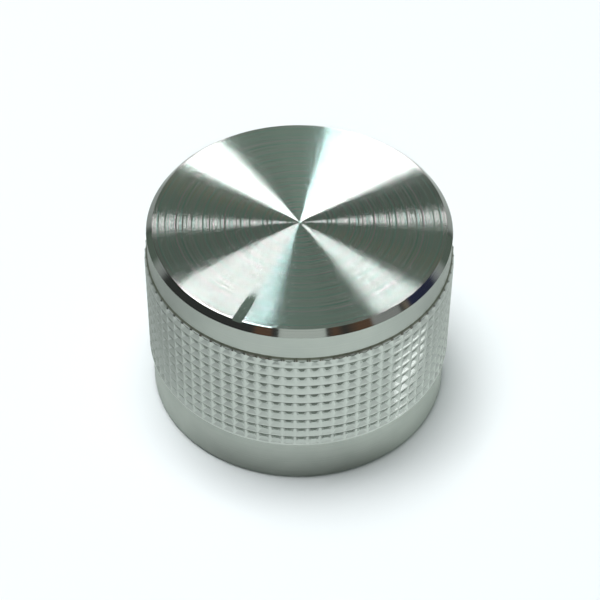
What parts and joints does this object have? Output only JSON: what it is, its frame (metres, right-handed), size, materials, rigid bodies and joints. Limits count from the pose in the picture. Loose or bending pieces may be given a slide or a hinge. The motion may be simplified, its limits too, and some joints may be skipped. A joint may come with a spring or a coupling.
{
  "type": "volume knob",
  "caption": "Round push-on volume knob: turned aluminium cap with a pitted knurl, spun face and pointer notch, over a moulded core with a splined socket.",
  "frame": {"origin": "centre of the base rim, on the face that stands over the panel", "axes": "+Z along the shaft, from the base to the face; the pointer notch lies towards -Y"},
  "size_m": [0.0306, 0.0306, 0.0209],
  "materials": {
    "aluminium": "spun face, satin bands and knurl, clear anodised",
    "core_plastic": "moulded, fine matt",
    "spring_steel": "rolled strip, lightly oiled"
  },
  "bodies": {
    "root": {"knob_shell": "aluminium", "shaft_core": "core_plastic", "grip_ring": "spring_steel"}
  },
  "joints": []
}
